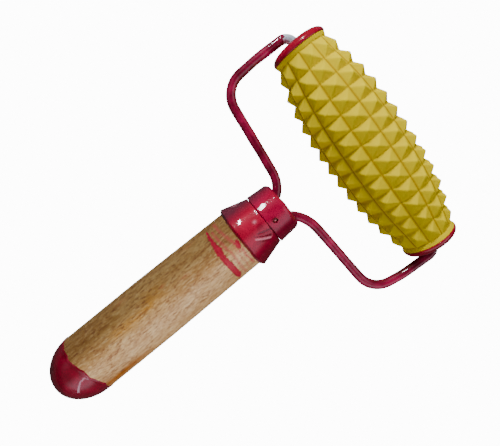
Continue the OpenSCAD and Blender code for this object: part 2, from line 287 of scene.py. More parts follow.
def face_outward(points, faces):
    """Turns all faces over if the volume they enclose comes out negative."""
    volume = 0.0
    for group in faces:
        corner = points[group]
        for k in range(1, group.shape[1] - 1):
            cross = np.cross(corner[:, k], corner[:, k + 1])
            volume += np.einsum("ij,ij->i", corner[:, 0], cross).sum()
    return [group[:, ::-1] for group in faces] if volume < 0 else faces


def fillet(points, radii, step=None, arc_points=7):
    """A polyline with rounded corners, its straights divided to at most step.

    radii is one value for all corners or one for each point; the end points stay sharp.
    """
    points = [np.array(p, float) for p in points]
    line = [points[0]]
    for i in range(1, len(points) - 1):
        radius = radii if np.isscalar(radii) else radii[i]
        before, corner, after = points[i - 1:i + 2]
        length_in = np.linalg.norm(before - corner)
        length_out = np.linalg.norm(after - corner)
        # neighbouring corners must not meet
        cut = min(radius, length_in * 0.45, length_out * 0.45)
        if cut < 1e-6:
            line.append(corner)
            continue
        start = corner + (before - corner) / length_in * cut
        end = corner + (after - corner) / length_out * cut
        for u in np.linspace(0, 1, arc_points):
            line.append((1 - u) ** 2 * start + 2 * u * (1 - u) * corner + u * u * end)
    line.append(points[-1])
    if step:
        divided = [line[0]]
        for p, q in zip(line[:-1], line[1:]):
            count = max(1, int(math.ceil(np.linalg.norm(q - p) / step)))
            divided += [p + (q - p) * k / count for k in range(1, count + 1)]
        line = divided
    kept = [line[0]]
    for p in line[1:]:
        if np.linalg.norm(p - kept[-1]) > 1e-5:
            kept.append(p)
    return np.array(kept)


def revolve(profile, sides, shape):
    """Turns an (x, radius) profile round the handle's axis; shape(x, radius, angle) bends it."""
    angle = np.linspace(0, TURN, sides, endpoint=False)
    x, radius, angle = np.broadcast_arrays(profile[:, :1], profile[:, 1:], angle)
    x, radius = shape(x, radius, angle)
    return np.stack([x, radius * np.sin(angle), radius * np.cos(angle)], -1), x, angle


def around_roller(radius, y, angle):
    """Points round the head's y axis."""
    place = np.broadcast_arrays(-radius * np.sin(angle), y, radius * np.cos(angle))
    return np.stack(place, -1)


# ------------------------------------------------------------------ shader nodes
MATERIALS = {}


class Shader:
    """A node tree with short calls; a value may be a number, a colour or a socket."""

    def __init__(self, tree, output):
        self.tree = tree
        tree.nodes.clear()
        self.out = self.node(output)

    def node(self, kind):
        return self.tree.nodes.new("ShaderNode" + kind)

    def put(self, socket, value):
        if isinstance(value, bpy.types.NodeSocket):
            self.tree.links.new(value, socket)
        elif value is not None:
            if isinstance(value, (tuple, list)) and len(value) == 3 and socket.type == "RGBA":
                value = (*value, 1)
            socket.default_value = value

    def surface(self, settings):
        for name, value in settings.items():
            self.put(self.bsdf.inputs[name], value)

    def finish(self, shader):
        self.put(self.out.inputs[0], shader)

    def math(self, operation, a, b=None, c=None):
        node = self.node("Math")
        node.operation = operation
        for socket, value in zip(node.inputs, (a, b, c)):
            self.put(socket, value)
        return node.outputs[0]

    def scaled(self, value, by, plus):
        return self.math("MULTIPLY_ADD", value, by, plus)

    def mix(self, factor, a, b, mode="MIX"):
        node = self.node("Mix")
        node.data_type = "RGBA"
        node.blend_type = mode
        for index, value in ((0, factor), (6, a), (7, b)):
            self.put(node.inputs[index], value)
        return node.outputs[2]

    def tint(self, colour, by):
        return self.mix(1.0, colour, by, "MULTIPLY")

    def layer(self, base, over, mask, amount=None):
        """Lays one colour over another where mask, times amount, is high."""
        if amount is not None:
            mask = self.math("MULTIPLY", mask, amount)
        return self.mix(mask, base, over)

    def coords(self, scale=1, across=None, offset=(0, 0, 0)):
        """Object coordinates in mm times scale; across scales y and z where they differ."""
        across = scale if across is None else across
        source = self.node("TexCoord")
        mapping = self.node("Mapping")
        mapping.inputs["Scale"].default_value = [s * 1000 for s in (scale, across, across)]
        mapping.inputs["Location"].default_value = offset
        self.put(mapping.inputs["Vector"], source.outputs["Object"])
        return mapping.outputs[0]

    def noise(self, scale=1, across=None, offset=(0, 0, 0), detail=3, rough=0.6,
              distort=0.0, vector=None, colour=False):
        vector = vector or self.coords(scale, across, offset)
        node = self.node("TexNoise")
        for name, value in (("Vector", vector), ("Scale", 1.0), ("Detail", detail),
                            ("Roughness", rough), ("Distortion", distort)):
            self.put(node.inputs[name], value)
        return node.outputs[1 if colour else 0]

    def ramp(self, value, *stops):
        """Each stop is a position and a grey value or colour."""
        node = self.node("ValToRGB")
        self.put(node.inputs[0], value)
        elements = node.color_ramp.elements
        while len(elements) < len(stops):
            elements.new(0.5)
        for element, (position, colour) in zip(elements, stops):
            element.position = position
            rgb = (colour,) * 3 if np.isscalar(colour) else colour
            element.color = (*rgb, 1)
        return node.outputs[0]

    def attribute(self, name):
        node = self.node("Attribute")
        node.attribute_name = name
        return node.outputs["Fac"]

    def axes(self, vector):
        node = self.node("SeparateXYZ")
        self.put(node.inputs[0], vector)
        return node.outputs

    def rim(self, blend, power):
        """High where the surface turns away from the eye."""
        node = self.node("LayerWeight")
        node.inputs[0].default_value = blend
        return self.math("POWER", node.outputs["Facing"], power)

    def bump(self, height, depth, strength, normal=None):
        """depth is in mm; normal is the bump it is laid over."""
        node = self.node("Bump")
        for name, value in (("Strength", strength), ("Distance", depth * MM),
                            ("Height", height), ("Normal", normal)):
            self.put(node.inputs[name], value)
        return node.outputs[0]

    def glow(self, kind, colour, strength):
        """An Emission or Background shader."""
        node = self.node(kind)
        self.put(node.inputs["Color"], colour)
        self.put(node.inputs["Strength"], strength)
        return node.outputs[0]

    def mix_shader(self, factor, a, b):
        node = self.node("MixShader")
        for socket, value in zip(node.inputs, (factor, a, b)):
            self.put(socket, value)
        return node.outputs[0]


def new_material(name):
    material = bpy.data.materials.new(name)
    material.use_nodes = True
    MATERIALS[name] = material
    s = Shader(material.node_tree, "OutputMaterial")
    s.bsdf = s.node("BsdfPrincipled")
    s.finish(s.bsdf.outputs[0])
    return s


# ------------------------------------------------------------------ materials


def enamel(name, deep, bright, rough, lump, lump_scale, edge=(0.045, 0.002, 0.009),
           specks=0.25, painted_shade_and_highlights=False):
    """Thick hand-brushed gloss enamel: uneven colour, lumps, specks and painted shade at the
    edges.

    rough is a low and high value, lump the height of the lumps in mm. grime adds a
    grey-violet painted shade towards the left (+Y) side, painted highlights from the wear
    attribute and the dark attribute.
    """
    s = new_material(name)
    clouds = s.noise(scale=0.12, detail=4, distort=0.4)
    mottle = s.noise(scale=0.9)
    colour = s.mix(s.ramp(clouds, (0.35, 0.0), (0.68, 1.0)), deep, bright)
    colour = s.layer(colour, [v * 0.45 for v in deep],
                     mask=s.ramp(mottle, (0.56, 0.0), (0.72, 1.0)), amount=specks)
    # painted shade: the edge colour darkens the surface where it turns away from the eye
    colour = s.layer(colour, edge, mask=s.rim(blend=0.4, power=1.9), amount=0.95)
    if painted_shade_and_highlights:
        # painted shade towards the left (+Y) side: y in mm, made ragged by the clouds, then
        # brought into the ramp's range
        y = s.math("SUBTRACT", s.axes(s.coords())[1], 2.5)
        y = s.scaled(clouds, by=5.0, plus=y)
        painted_shade_film = s.ramp(s.math("MULTIPLY", y, 1 / 20), (0.45, 0.0), (0.70, 0.85))
        colour = s.layer(colour, (0.085, 0.022, 0.040), mask=painted_shade_film)
        colour = s.layer(colour, (0.05, 0.002, 0.010), mask=s.attribute("dark"))
        # painted highlights in pale pink where the glints lie
        colour = s.layer(colour, (0.86, 0.30, 0.40), mask=s.attribute("painted_highlight"))
    low, high = rough
    s.surface({
        "Base Color": colour,
        "Roughness": s.scaled(mottle, by=high - low, plus=low + 0.1),
        "Coat Weight": 1.0,
        "Coat Roughness": 0.05,
        "Specular IOR Level": 0.02 if painted_shade_and_highlights else 0.12,
    })
    lumps = s.noise(scale=lump_scale, rough=0.55, distort=0.6)
    fine = s.noise(scale=2.6, detail=2, rough=0.5)
    normal = s.bump(lumps, depth=lump, strength=1.0)
    normal = s.bump(fine, depth=0.0002 if painted_shade_and_highlights else 0.008, strength=0.6, normal=normal)
    s.surface({"Normal": normal})
    if not painted_shade_and_highlights:
        s.surface({"Coat Normal": normal})


# the default colour is bare steel lifted to a pale blue-white by a painted reflection of a pale
# sky
def steel(name, colour=(0.80, 0.91, 1.0), rough=0.26, along=0.15, across=3):
    """Drawn steel; along and across are the scales of its streaks."""
    s = new_material(name)
    streaks = s.noise(scale=along, across=across, detail=4, rough=0.65)
    clouds = s.noise(scale=0.5, rough=0.5)
    shade = s.mix(s.ramp(clouds, (0.4, 0.0), (0.75, 1.0)), colour, (0.62, 0.74, 0.90))
    shade = s.layer(shade, [v * 0.55 for v in colour],
                    mask=s.ramp(streaks, (0.45, 0.0), (0.8, 1.0)), amount=0.35)
    s.surface({
        "Base Color": shade,
        "Metallic": 0.34,
        "Roughness": s.scaled(streaks, by=0.2, plus=rough),
        "Normal": s.bump(streaks, depth=0.02, strength=0.5),
    })


def plastic(name, deep, main, pale, rough, scatter=0.0, relief=False, coat=0.0, grain=0.02,
            specular=0.5):
    """Moulded plastic; relief paints shade into the grooves through the relief attribute."""
    s = new_material(name)
    clouds = s.noise(scale=0.09, rough=0.55)
    mottle = s.noise(scale=1.4)
    colour = s.layer(main, pale, mask=s.ramp(clouds, (0.35, 0.0), (0.7, 1.0)), amount=0.55)
    if relief:
        # painted shade in the grooves, darkest at their floors
        painted_groove_shade = s.ramp(s.attribute("relief"), (0.0, 0.95), (0.07, 0.55), (0.16, 0.14), (0.8, 0.0))
        colour = s.layer(colour, deep, mask=painted_groove_shade)
    colour = s.layer(colour, deep, mask=s.ramp(mottle, (0.55, 0.0), (0.8, 1.0)), amount=0.14)
    s.surface({
        "Base Color": colour,
        "Specular IOR Level": specular,
        "Roughness": s.scaled(mottle, by=0.16, plus=rough - 0.08),
        "Coat Weight": coat,
        "Coat Roughness": 0.15,
    })
    if scatter:
        s.surface({
            "Subsurface Weight": scatter,
            "Subsurface Radius": (1.0, 0.6, 0.15),
            "Subsurface Scale": 0.0012,
        })
    orange_peel = s.noise(scale=0.55, rough=0.5)
    normal = s.bump(orange_peel, depth=grain * 2, strength=0.6)
    s.surface({"Normal": s.bump(mottle, depth=grain * 0.5, strength=0.6, normal=normal)})


def varnished_wood():
    s = new_material("varnished_wood")
    drift = s.noise(scale=0.035, across=0.09, rough=0.55, colour=True)

    def grain(scale, across, bend, offset, detail=3, rough=0.6):
        """Noise drawn out along the grain; bend is how far the slow drift shifts it."""
        moved = s.node("VectorMath")
        moved.operation = "MULTIPLY_ADD"
        values = (drift, (bend[0], bend[1], bend[1]), s.coords(scale, across, offset))
        for socket, value in zip(moved.inputs, values):
            s.put(socket, value)
        return s.noise(vector=moved.outputs[0], detail=detail, rough=rough)

    tone = grain(scale=0.016, across=0.10, bend=(0.2, 0.9), offset=(3, 1, 0))
    colour = s.ramp(tone, (0.34, (0.36, 0.195, 0.075)), (0.5, (0.50, 0.305, 0.135)),
                    (0.66, (0.62, 0.42, 0.22)))
    # painted light towards the right (-Y) side, from the pale attribute, and warm tints of the
    # varnish
    blotches = s.noise(scale=0.06, across=0.19, offset=(1, 7, 5), detail=4, rough=0.65)
    colour = s.layer(colour, (0.74, 0.53, 0.34), mask=s.attribute("pale"),
                     amount=s.ramp(blotches, (0.34, 0.80), (0.58, 0.20)))
    colour = s.layer(colour, (0.62, 0.28, 0.012), mask=s.attribute("warm"),
                     amount=s.ramp(blotches, (0.35, 0.45), (0.6, 1.0)))
    # broad figure: brown bands, then pale ones
    figure = grain(scale=0.09, across=0.46, bend=(0.3, 2.2), offset=(5, 2, 8),
                   detail=4, rough=0.7)
    colour = s.layer(colour, s.tint(colour, (0.62, 0.46, 0.36)),
                     mask=s.ramp(figure, (0.30, 0.55), (0.46, 0.12), (0.52, 0.0), (1.0, 0.0)))
    colour = s.layer(colour, (0.74, 0.56, 0.36),
                     mask=s.ramp(figure, (0.0, 0.0), (0.52, 0.0), (0.64, 0.32)))
    # short dark pores in clumps, and finer ones between
    pores = grain(scale=0.30, across=1.15, bend=(0.4, 4.2), offset=(2, 6, 1),
                  detail=2, rough=0.55)
    clumps = s.ramp(s.noise(scale=0.07, across=0.20, offset=(9, 4, 2)),
                    (0.36, 0.22), (0.56, 1.0))
    pore_mask = s.math("MULTIPLY", s.ramp(pores, (0.555, 0.0), (0.59, 1.0)), clumps)
    colour = s.layer(colour, (0.22, 0.085, 0.040), mask=pore_mask, amount=0.72)
    fine_pores = grain(scale=0.42, across=1.7, bend=(0.5, 5.0), offset=(4, 1, 3), detail=2)
    colour = s.layer(colour, (0.27, 0.125, 0.060),
                     mask=s.ramp(fine_pores, (0.55, 0.0), (0.62, 1.0)), amount=0.42)
    # dark and pale fibres
    fibre = grain(scale=0.30, across=1.7, bend=(0.3, 4.5), offset=(0, 0, 0),
                  detail=4, rough=0.75)
    colour = s.layer(colour, (0.27, 0.125, 0.050),
                     mask=s.ramp(fibre, (0.34, 0.7), (0.46, 0.0), (1.0, 0.0)))
    colour = s.layer(colour, (0.84, 0.66, 0.42),
                     mask=s.ramp(fibre, (0.0, 0.0), (0.55, 0.0), (0.66, 0.6)))
    # overall tint, painted shade towards the left (+Y) side, then stained and ruddy tints
    colour = s.tint(colour, (1.02, 0.955, 0.80))
    colour = s.layer(colour, s.tint(colour, (0.52, 0.50, 0.37)), mask=s.attribute("painted_left_shade"),
                     amount=s.ramp(blotches, (0.25, 0.78), (0.6, 1.0)))
    stain_patches = s.noise(scale=0.12, across=0.3, detail=4)
    colour = s.layer(colour, s.mix(pore_mask, (0.30, 0.085, 0.004), (0.14, 0.03, 0.003)),
                     mask=s.attribute("stain"),
                     amount=s.ramp(stain_patches, (0.28, 0.7), (0.55, 1.0)))
    colour = s.layer(colour, (0.40, 0.085, 0.045), mask=s.attribute("ruddy"),
                     amount=s.ramp(pores, (0.35, 0.5), (0.6, 1.0)))
    # enamel brushed and smeared over the grain; the bristles ran round the handle
    streaks = s.noise(scale=0.9, across=0.55, detail=4, rough=0.7)
    bristles = s.noise(scale=3.4, across=0.32, offset=(3, 8, 2), rough=0.65)
    ragged = s.noise(scale=1.8, offset=(1, 5, 9), rough=0.7)
    paint = s.math("ADD", s.attribute("paint"), s.scaled(streaks, by=0.8, plus=-0.40))
    paint = s.math("ADD", paint, s.scaled(ragged, by=1.3, plus=-0.65))
    paint = s.ramp(paint, (0.46, 0.0), (0.52, 1.0))
    red = s.mix(s.ramp(bristles, (0.36, 0.0), (0.62, 1.0)),
                (0.27, 0.002, 0.018), (0.43, 0.005, 0.036))
    colour = s.layer(colour, red, mask=paint, amount=0.97)
    smear = s.math("MULTIPLY", s.attribute("smear"), s.ramp(bristles, (0.34, 0.15), (0.50, 1.0)))
    colour = s.layer(colour, (0.44, 0.040, 0.055), mask=smear,
                     amount=s.ramp(ragged, (0.36, 0.2), (0.50, 1.0)))
    # painted shade: the turned sides fall off to a browner tone where they turn from the eye
    colour = s.layer(colour, s.tint(colour, (0.45, 0.33, 0.28)),
                     mask=s.rim(blend=0.3, power=3.0), amount=0.6)
    height = s.math("SUBTRACT", s.math("MULTIPLY", fibre, 0.5), pore_mask)
    normal = s.bump(height, depth=0.06, strength=0.7)
    s.surface({
        "Base Color": colour,
        "Specular IOR Level": 0.28,
        "Roughness": s.scaled(fibre, by=0.22, plus=0.36),
        "Coat Weight": 0.12,
        "Coat Roughness": 0.3,
        "Normal": s.bump(paint, depth=0.12, strength=1.0, normal=normal),
    })


varnished_wood()
# edge, given or left at its default, is the colour of the painted shade where each enamel turns
# from the eye
enamel("butt_enamel_red", deep=(0.15, 0.002, 0.011), bright=(0.29, 0.003, 0.026),
       rough=(0.18, 0.36), lump=0.03, lump_scale=0.14, specks=0.35)
enamel("ferrule_red", deep=(0.40, 0.003, 0.030), bright=(0.60, 0.005, 0.055),
       rough=(0.14, 0.28), lump=0.003, lump_scale=0.22, specks=0.2, painted_shade_and_highlights=True)
enamel("collar_red", deep=(0.38, 0.003, 0.038), bright=(0.58, 0.006, 0.072),
       rough=(0.16, 0.3), lump=0.003, lump_scale=0.2, painted_shade_and_highlights=True)
enamel("rod_enamel_red", deep=(0.10, 0.001, 0.012), bright=(0.36, 0.006, 0.058),
       rough=(0.16, 0.32), lump=0.05, lump_scale=0.4, specks=0.6, edge=(0.03, 0.001, 0.005))
steel("rod_steel")
steel("pin_steel", colour=(0.5, 0.5, 0.52), rough=0.35)
steel("washer_steel", colour=(0.66, 0.67, 0.69), rough=0.3, along=1, across=1)
steel("push_nut_steel", colour=(0.30, 0.30, 0.32), rough=0.38, along=1, across=1)
enamel("nail_steel", deep=(0.42, 0.05, 0.07), bright=(0.60, 0.16, 0.18),
       rough=(0.2, 0.4), lump=0.05, lump_scale=1.0, edge=(0.12, 0.01, 0.02))
plastic("barrel_yellow", deep=(0.42, 0.23, 0.0), main=(0.86, 0.665, 0.0),
        pale=(0.92, 0.73, 0.0), rough=0.42, relief=True, grain=0.012, specular=0.03)
plastic("cap_red", deep=(0.19, 0.0015, 0.011), main=(0.36, 0.002, 0.022),
        pale=(0.43, 0.004, 0.034), rough=0.3, coat=1.0, grain=0.01, specular=0.15)
plastic("bush_nylon", deep=(0.62, 0.60, 0.52), main=(0.80, 0.80, 0.74),
        pale=(0.86, 0.86, 0.80), rough=0.45, scatter=0.1)

# ------------------------------------------------------------------ wooden grip
# the long brushed stroke round the grip: angle, x of its butt-side and roller-side edges
STROKE_EDGES = np.array([
    (-59, 67.5, 67.6), (-57, 67.3, 68.2), (-52, 66.9, 69.0), (-45, 66.65, 69.85),
    (-30, 66.75, 70.0), (-15, 66.75, 69.95), (-3, 66.6, 69.8), (0, 66.85, 69.6),
    (10, 66.75, 70.2), (15, 66.9, 70.55), (22, 67.2, 70.0), (30, 67.5, 69.75),
    (40, 67.75, 69.6), (48, 67.9, 69.45), (56, 68.4, 69.1), (62, 68.65, 68.9),
    (66, 68.8, 68.8)])
# dry brush marks: line of (x, angle), width, strength
SMEARS = [
    ([(73.9, 66), (74.3, 48), (75.2, 30), (76.4, 16), (77.0, 4), (76.6, -8)], 0.95, 0.8),
    ([(71.0, 50), (71.6, 30), (72.1, 12), (73.0, -2), (72.6, -16), (72.2, -30), (72.0, -52)],
     0.85, 0.75),
    ([(75.4, 2), (75.0, -16), (75.3, -34), (74.6, -50)], 0.6, 0.45),
    ([(78.2, -9), (77.6, -22), (77.8, -34), (78.1, -47)], 0.7, 1.0)]
# x, angle, width along x, width in degrees, strength
RUDDY_SPOTS = [(36, 28, 1.6, 2.6, 0.42), (48, 17, 3.0, 3.2, 0.34),
               (13, 58, 3.0, 3.5, 0.30), (57, 62, 3.0, 4, 0.25)]
# where the dipped enamel stops: angle, x
DIP_EDGE = np.array([
    (-180, -24.6), (-120, -24.2), (-90, -22.6), (-60, -20.4), (-45, -18.9), (-30, -18.7),
    (-15, -19.2), (0, -19.9), (10, -20.6), (20, -21.6), (35, -22.9), (50, -23.6),
    (70, -24.1), (90, -24.6), (120, -25.6), (180, -24.6)])


def grip_radius(x):
    """Radius of the wood: a dome at the butt, then a long taper to the neck."""
    x = np.asarray(x, float)
    angle = np.arccos(np.clip(1 - (x - TIP_X) / DOME_LENGTH, -1, 1))
    dome = GRIP_R * np.sin(angle) ** 0.93
    along = np.clip((x - WAIST_START) / (FERRULE_START + 0.4 - WAIST_START), 0, 1)
    waist = GRIP_R - (GRIP_R - NECK_R) * along ** 1.2
    return np.where(x < TIP_X + DOME_LENGTH, dome, waist)


def brushed_paint(x, degrees):
    """Strength of the long stroke, and of a blot next to the ferrule."""
    left = np.interp(degrees, STROKE_EDGES[:, 0], STROKE_EDGES[:, 1])
    right = np.interp(degrees, STROKE_EDGES[:, 0], STROKE_EDGES[:, 2])
    inside = np.minimum(x - left, right - x)
    span = (degrees > -60) & (degrees < 66)
    stroke = np.where(span, np.clip(0.5 + inside / 2.0, 0, 1), 0)
    # the blot is a slanted ellipse
    out = np.hypot((x - 77.9 - 0.05 * (degrees - 3)) / 1.25, (degrees - 3) / 8.5)
    return np.maximum(stroke, np.clip(1.5 - out, 0, 0.8) * (out < 1.5))


def smeared_paint(x, degrees):
    smear = np.zeros_like(x)
    for line, width, strength in SMEARS:
        for start, end in zip(line[:-1], line[1:]):
            distance, _, _ = line_distance(x, degrees, start, end, NECK_R)
            smear = np.maximum(smear, strength * bell(distance, 0, width))
    return smear


def grip_tints(x, degrees):
    """Surface tints, painted light and shade, and paint, as attributes of the wood."""
    return {
        # painted shade towards the left (+Y) side, a third weaker near the bottom
        "painted_left_shade": ease(degrees, -8, 34) * (1 - 0.35 * ease(np.abs(degrees), 110, 170)),
        # painted light on the right of the top, fullest between -30 and -14 degrees
        "pale": 0.9 * plateau(degrees, (-58, -30), (-14, 6)),
        "warm": 0.75 * bell(degrees, 15, 9) * plateau(x, (-4, 8), (24, 42))
        + 0.3 * bell(degrees, 30, 12) * plateau(x, (18, 26), (30, 46)),
        "stain": bell(degrees, -53, 9.5) * plateau(x, (-24, -19), (-4, 14))
        + 0.30 * bell(degrees, -50, 7) * plateau(x, (2, 10), (12, 30)),
        "ruddy": sum(spots(x, degrees, RUDDY_SPOTS)),
        "paint": brushed_paint(x, degrees),
        "smear": smeared_paint(x, degrees),
    }


def wood_grip():
    sides = 384
    sag = waves(6, 0.04, 0.12, seed=3, dims=2)
    # stations are closer together under the brushed paint
    x = np.concatenate([TIP_X + np.array([0.6, 1.2, 2.2, 4, 6.5, 10, 14]),
                        np.arange(TIP_X + 17.5, 60, 0.55),
                        np.arange(60, FERRULE_START + 1.3, 0.22)])
    # under the dip the wood stands back a little
    outside = np.stack([x, grip_radius(x) - np.where(x < TIP_X + 17, 0.25, 0.0)], 1)
    mouth = (SPIGOT_END, 5.4)
    spigot = fillet([outside[-1], (FERRULE_START + 1.6, NECK_R - 0.45),
                     (FERRULE_END - 2.2, SPIGOT_R + 0.3), (FERRULE_END - 1.4, SPIGOT_R),
                     (SPIGOT_END - 0.5, SPIGOT_R), (SPIGOT_END, SPIGOT_R - 0.5), mouth], 0.2)
    bore = fillet([mouth, (SPIGOT_END, BORE_R), (BORE_END, BORE_R), (BORE_END, 0.4)], 0.1)
    profile = np.concatenate([outside, spigot[1:], bore[1:]])

    def shape(x, radius, angle):
        live = plateau(x, (-30, -24), (FERRULE_START - 0.5, FERRULE_START + 1.0))
        uneven = 0.05 * sag(x * 0.6, np.sin(angle) * 9) + 0.02 * np.sin(0.8 * x + 2 * angle)
        return x, radius + live * uneven

    points, x, angle = revolve(profile, sides, shape)
    poles = [[TIP_X + 0.25, 0, 0], [BORE_END - 0.2, 0, 0]]
    tints = grip_tints(x, degrees_from_top(angle))
    piece("wood_grip", np.concatenate([points.reshape(-1, 3), poles]),
          [grid_faces(len(profile), sides), *end_fans(len(profile), sides)],
          "varnished_wood", "handle_grip", sharp=40,
          attributes={key: np.append(values.ravel(), [0, 0]) for key, values in tints.items()})


def dipped_butt():
    """A thin skin over the dome, running out in a soft wavy bead."""
    sides, rows = 256, 120
    dome_share = 0.72               # share of the rows spent on the dome
    dome_end = TIP_X + DOME_LENGTH
    lumps = waves(10, 0.10, 0.35, seed=5)
    angle = np.linspace(0, TURN, sides, endpoint=False)
    edge = np.interp(degrees_from_top(angle), DIP_EDGE[:, 0], DIP_EDGE[:, 1])
    edge = edge + (0.28 * np.sin(9 * angle + 1.0) + 0.18 * np.sin(17 * angle + 2.2)
                   + 0.10 * np.sin(31 * angle))
    along = np.linspace(0, 1, rows + 1)[1:, None]
    on_dome = TIP_X + DOME_LENGTH * (1 - np.cos(np.minimum(along / dome_share, 1) * math.pi / 2))
    past_dome = dome_end + (edge - dome_end) * ((along - dome_share) / (1 - dome_share))
    wood_x = np.where(along < dome_share, on_dome, past_dome)
    from_edge = np.clip(edge - wood_x, 0, None)

    def lifted(height):
        """The wood's outline moved out along its normal."""
        slope = (grip_radius(wood_x + 0.02) - grip_radius(wood_x - 0.02)) / 0.04
        slope = np.clip(slope, 0, 60)
        length = np.sqrt(1 + slope * slope)
        return wood_x - height * slope / length, grip_radius(wood_x) + height / length

    def rings(x, radius):
        return np.stack([x, radius * np.sin(angle), radius * np.cos(angle)], -1)

    bead = 0.10 * bell(from_edge, 1.3, 0.7)
    x, radius = lifted(-0.06 + 0.30 * ease(from_edge, 0.0, 1.0) + bead)
    uneven = lumps(x, radius * np.sin(angle), radius * np.cos(angle))
    radius = radius + 0.06 * uneven * ease(edge - x, 0.3, 2.5)
    skin = np.concatenate([rings(x, radius), rings(*lifted(-0.12))[::-1]])
    poles = [[TIP_X - 0.22, 0, 0], [TIP_X + 0.14, 0, 0]]
    piece("dipped_butt", np.concatenate([skin.reshape(-1, 3), poles]),
          [grid_faces(len(skin), sides), *end_fans(len(skin), sides)],
          "butt_enamel_red", "butt_enamel", sharp=60)


# ------------------------------------------------------------------ ferrule, collar, nail
METAL_SIDES = 320
DENTS = waves(9, 0.15, 0.5, seed=9)
# x, angle, width along x, width in degrees, height
FERRULE_KNOCKS = [(88.5, 80, 2.6, 9, -0.55), (92, 62, 2.0, 8, -0.35),
                  (FERRULE_GLINT_X, GLINT_ANGLE, 3.2, 14, 0.08), (84.0, -50, 2.6, 10, -0.28)]
COLLAR_KNOCKS = [(103.5, 78, 2.4, 9, -0.22), (97.5, -12, 1.5, 8, -0.12)]
# painted highlight spots: the same columns, with a strength
HIGHLIGHT_SPOTS = [(91.0, 15, 1.0, 3.2, 0.7), (94.3, 30, 0.5, 5.0, 0.7), (88.0, 80, 1.6, 5.0, 0.5)]
DARK_SPOT = (92.0, 2, 2.2, 7, 0.45)


def calm_at_glint(x, degrees, dents, calm_x, calm_width, glint_x, fall, fall_width):
    """Dents that die out round the glint, where the metal swells a little along x."""
    near = bell(degrees, GLINT_ANGLE, 26, power=4)
    calm = bell(x, calm_x, calm_width, power=4) * near
    return dents * (1 - calm) - fall * (1 - bell(x, glint_x, fall_width)) * near


def ferrule():
    outer = fillet(
        [(FERRULE_START, NECK_R + 0.05), (FERRULE_START + 0.02, NECK_R + 0.45),
         (FERRULE_START + 0.95, FERRULE_R - 0.35), (FERRULE_SHOULDER, FERRULE_R),
         (FERRULE_RIM_X, FERRULE_RIM_R), (FERRULE_END, 13.9), (FERRULE_END, FERRULE_BORE_R)],
        [0, 0.25, 0.4, 0.5, 0.3, 0.2, 0], step=0.3)
    inner = fillet(
        [(FERRULE_END, FERRULE_BORE_R), (FERRULE_END - 1.0, FERRULE_BORE_R),
         (FERRULE_END - 1.6, 12.9), (FERRULE_START + 2.0, FERRULE_R - 1.3),
         (FERRULE_START + 1.4, NECK_R + 0.05), (FERRULE_START + 0.2, NECK_R + 0.05)], 0.15)
    profile = np.concatenate([outer, inner[1:]])
    outside = (np.arange(len(profile)) < len(outer) - 1)[:, None]

    def shape(x, radius, angle):
        degrees = degrees_from_top(angle)
        dents = 0.05 * DENTS(x, radius * np.sin(angle), radius * np.cos(angle))
        relief = calm_at_glint(x, degrees, dents, calm_x=FERRULE_GLINT_X, calm_width=8,
                               glint_x=FERRULE_GLINT_X, fall=0.15, fall_width=math.sqrt(60))
        # a long gouge with a burr raised beside it, and a shorter scratch
        gouge = {"start": (85.2, -6), "end": (93.4, -30), "reach": 4, "run_out": 0.9}
        relief = relief \
            - 0.42 * scratch(x, degrees, offset=0.35, width=0.55, run_in=0.15, **gouge) \
            + 0.22 * scratch(x, degrees, offset=-0.75, width=0.6, run_in=0.2, **gouge) \
            - 0.22 * scratch(x, degrees, (88.0, -4), (94.0, -15), offset=0, width=0.45,
                             reach=3, run_in=0.2) \
            + sum(spots(x, degrees, FERRULE_KNOCKS))
        edge = ease(x, FERRULE_START - 0.1, FERRULE_START + 1.6)
        rim = ease(x, FERRULE_END - 0.8, FERRULE_END)
        radius = radius + outside * relief * (0.35 + 0.65 * edge) * (1 - 0.8 * rim)
        # the end over the wood is not quite square
        wavy = (0.22 * np.sin(2 * angle + 0.4) + 0.12 * np.sin(5 * angle + 2)
                + 0.05 * np.sin(13 * angle))
        fade = 1 - ease(x, FERRULE_START + 0.2, FERRULE_START + 3)
        return x + outside * fade * wavy, radius

    points, x, angle = revolve(profile, METAL_SIDES, shape)
    degrees = degrees_from_top(angle)
    # painted highlights: along the burr, three spots and part of the edge over the wood
    painted_highlight = 0.75 * scratch(x, degrees, (85.6, -7), (93.2, -30), offset=-0.35, width=0.42,
                          reach=3, run_in=0.1, run_out=0.93)
    edge = 0.6 * (1 - ease(x, FERRULE_START + 0.3, FERRULE_START + 1.1)) * bell(degrees, -56, 15)
    for spot in spots(x, degrees, HIGHLIGHT_SPOTS) + [edge]:
        painted_highlight = np.maximum(painted_highlight, spot)
    dark = 0.7 * scratch(x, degrees, (87.6, -4), (94.0, -15), offset=0, width=0.55,
                         reach=3, run_in=0.2)
    dark = np.maximum(dark, spots(x, degrees, [DARK_SPOT])[0])
    piece("ferrule_shell", points.reshape(-1, 3),
          [grid_faces(len(profile), METAL_SIDES, closed=True)], "ferrule_red", "ferrule",
          attributes={"painted_highlight": painted_highlight, "dark": dark}, sharp=55)


def nail_rings(heights, radii):
    """Rings round the nail's tilted line; heights are measured from the handle's axis."""
    heights, radii = np.reshape(heights, (-1, 1)), np.reshape(radii, (-1, 1))
    angle = np.linspace(0, TURN, NAIL_SIDES, endpoint=False)
    x, across = NAIL_X + radii * np.cos(angle), radii * np.sin(angle)
    y = across * math.cos(NAIL_TILT) - heights * math.sin(NAIL_TILT)
    z = heights * math.cos(NAIL_TILT) + across * math.sin(NAIL_TILT)
    return np.stack([x, y, z], -1).reshape(-1, 3)


